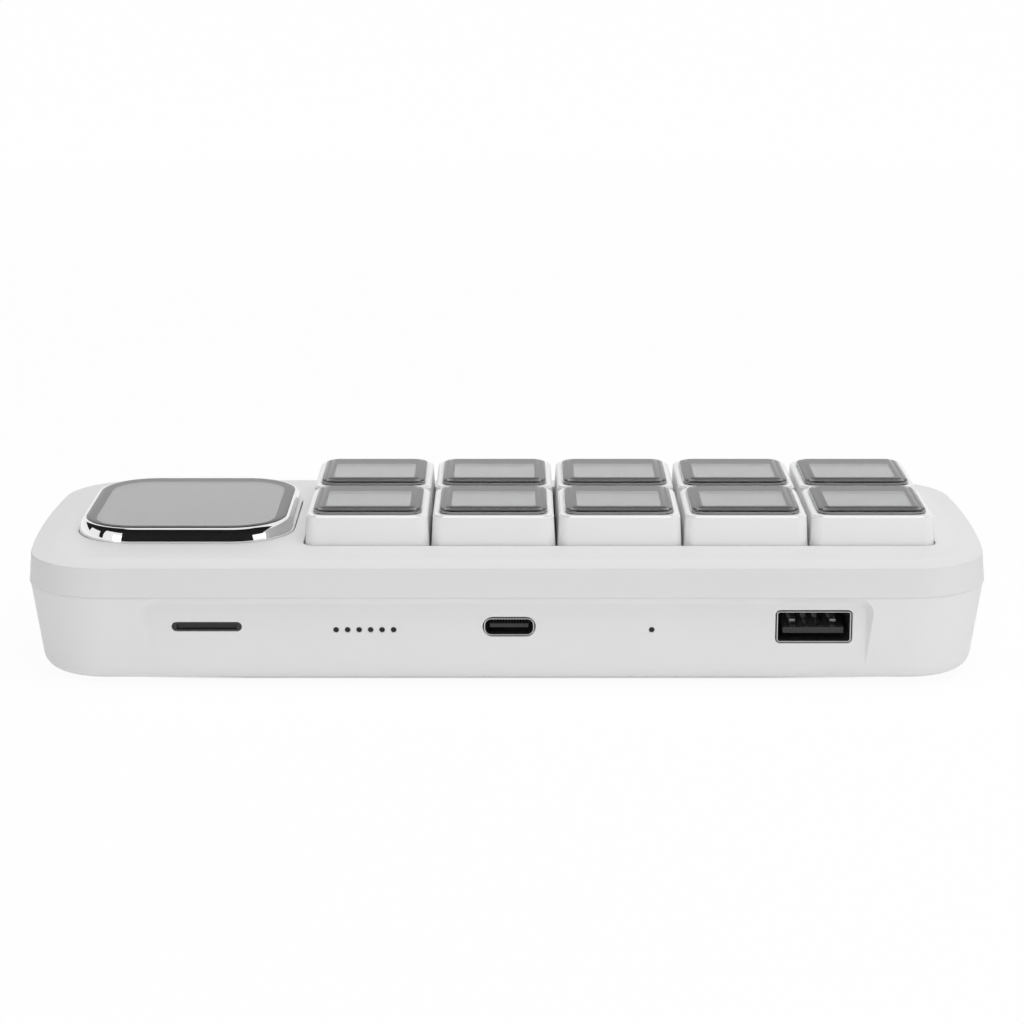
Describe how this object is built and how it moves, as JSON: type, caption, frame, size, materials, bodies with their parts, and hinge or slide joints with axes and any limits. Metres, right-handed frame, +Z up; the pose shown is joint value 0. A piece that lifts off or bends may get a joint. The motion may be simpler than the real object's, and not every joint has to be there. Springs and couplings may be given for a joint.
{
  "type": "button control panel",
  "caption": "Low desktop control panel with rows of pressable picture keys under clear lenses, a rounded square display in a polished bezel, and sockets along the rear face.",
  "frame": {"origin": "middle of the resting plane under the rubber feet", "axes": "+X to the user's right (the display end), +Y away from the user towards the rear sockets, +Z up"},
  "size_m": [0.171, 0.0676, 0.0286],
  "materials": {
    "shell_white": "fine moulded satin texture",
    "cap_white": "smooth satin",
    "lens_clear": "clear polished",
    "cover_glass": "clear polished",
    "screen_black": "dark unlit liquid-crystal panel",
    "bezel_chrome": "mirror polished",
    "socket_steel": "plain nickel plate",
    "insert_black": "plain moulded",
    "foot_rubber": "matt",
    "boot_rubber": "matt",
    "board_green": "solder mask",
    "plate_steel": "stamped sheet",
    "spring_steel": "drawn wire",
    "stem_plastic": "plain moulded",
    "ribbon_amber": "film"
  },
  "bodies": {
    "case": {"top_cover": "shell_white", "bottom_case": "shell_white", "rubber_feet": "foot_rubber", "main_board": "board_green", "board_components": "insert_black", "switch_plate": "plate_steel", "switch_housings": "insert_black", "key_springs": "spring_steel", "key_ribbons": "ribbon_amber", "display_bezel": "bezel_chrome", "display_glass": "cover_glass", "display_panel": "screen_black", "display_ribbon": "ribbon_amber", "usb_c_shell": "socket_steel", "usb_a_shell": "socket_steel", "socket_tongues": "insert_black", "card_socket": "insert_black", "speaker": "insert_black", "microphone": "boot_rubber"},
    "key_1": {"keycap_1": "cap_white", "key_lens_1": "lens_clear", "key_screen_1": "screen_black", "switch_stem_1": "stem_plastic"},
    "key_2": {"keycap_2": "cap_white", "key_lens_2": "lens_clear", "key_screen_2": "screen_black", "switch_stem_2": "stem_plastic"},
    "key_3": {"keycap_3": "cap_white", "key_lens_3": "lens_clear", "key_screen_3": "screen_black", "switch_stem_3": "stem_plastic"},
    "key_4": {"keycap_4": "cap_white", "key_lens_4": "lens_clear", "key_screen_4": "screen_black", "switch_stem_4": "stem_plastic"},
    "key_5": {"keycap_5": "cap_white", "key_lens_5": "lens_clear", "key_screen_5": "screen_black", "switch_stem_5": "stem_plastic"},
    "key_6": {"keycap_6": "cap_white", "key_lens_6": "lens_clear", "key_screen_6": "screen_black", "switch_stem_6": "stem_plastic"},
    "key_7": {"keycap_7": "cap_white", "key_lens_7": "lens_clear", "key_screen_7": "screen_black", "switch_stem_7": "stem_plastic"},
    "key_8": {"keycap_8": "cap_white", "key_lens_8": "lens_clear", "key_screen_8": "screen_black", "switch_stem_8": "stem_plastic"},
    "key_9": {"keycap_9": "cap_white", "key_lens_9": "lens_clear", "key_screen_9": "screen_black", "switch_stem_9": "stem_plastic"},
    "key_10": {"keycap_10": "cap_white", "key_lens_10": "lens_clear", "key_screen_10": "screen_black", "switch_stem_10": "stem_plastic"}
  },
  "joints": [
    {"name": "key_1_press", "type": "slide", "parent": "case", "child": "key_1", "axis": [0, 0, -1], "range_m": [0, 0.003], "stiffness_N_per_m": 100, "springref_m": -0.003, "deforming": ["key_springs", "key_ribbons"]},
    {"name": "key_2_press", "type": "slide", "parent": "case", "child": "key_2", "axis": [0, 0, -1], "range_m": [0, 0.003], "stiffness_N_per_m": 100, "springref_m": -0.003, "deforming": ["key_springs", "key_ribbons"]},
    {"name": "key_3_press", "type": "slide", "parent": "case", "child": "key_3", "axis": [0, 0, -1], "range_m": [0, 0.003], "stiffness_N_per_m": 100, "springref_m": -0.003, "deforming": ["key_springs", "key_ribbons"]},
    {"name": "key_4_press", "type": "slide", "parent": "case", "child": "key_4", "axis": [0, 0, -1], "range_m": [0, 0.003], "stiffness_N_per_m": 100, "springref_m": -0.003, "deforming": ["key_springs", "key_ribbons"]},
    {"name": "key_5_press", "type": "slide", "parent": "case", "child": "key_5", "axis": [0, 0, -1], "range_m": [0, 0.003], "stiffness_N_per_m": 100, "springref_m": -0.003, "deforming": ["key_springs", "key_ribbons"]},
    {"name": "key_6_press", "type": "slide", "parent": "case", "child": "key_6", "axis": [0, 0, -1], "range_m": [0, 0.003], "stiffness_N_per_m": 100, "springref_m": -0.003, "deforming": ["key_springs", "key_ribbons"]},
    {"name": "key_7_press", "type": "slide", "parent": "case", "child": "key_7", "axis": [0, 0, -1], "range_m": [0, 0.003], "stiffness_N_per_m": 100, "springref_m": -0.003, "deforming": ["key_springs", "key_ribbons"]},
    {"name": "key_8_press", "type": "slide", "parent": "case", "child": "key_8", "axis": [0, 0, -1], "range_m": [0, 0.003], "stiffness_N_per_m": 100, "springref_m": -0.003, "deforming": ["key_springs", "key_ribbons"]},
    {"name": "key_9_press", "type": "slide", "parent": "case", "child": "key_9", "axis": [0, 0, -1], "range_m": [0, 0.003], "stiffness_N_per_m": 100, "springref_m": -0.003, "deforming": ["key_springs", "key_ribbons"]},
    {"name": "key_10_press", "type": "slide", "parent": "case", "child": "key_10", "axis": [0, 0, -1], "range_m": [0, 0.003], "stiffness_N_per_m": 100, "springref_m": -0.003, "deforming": ["key_springs", "key_ribbons"]}
  ]
}
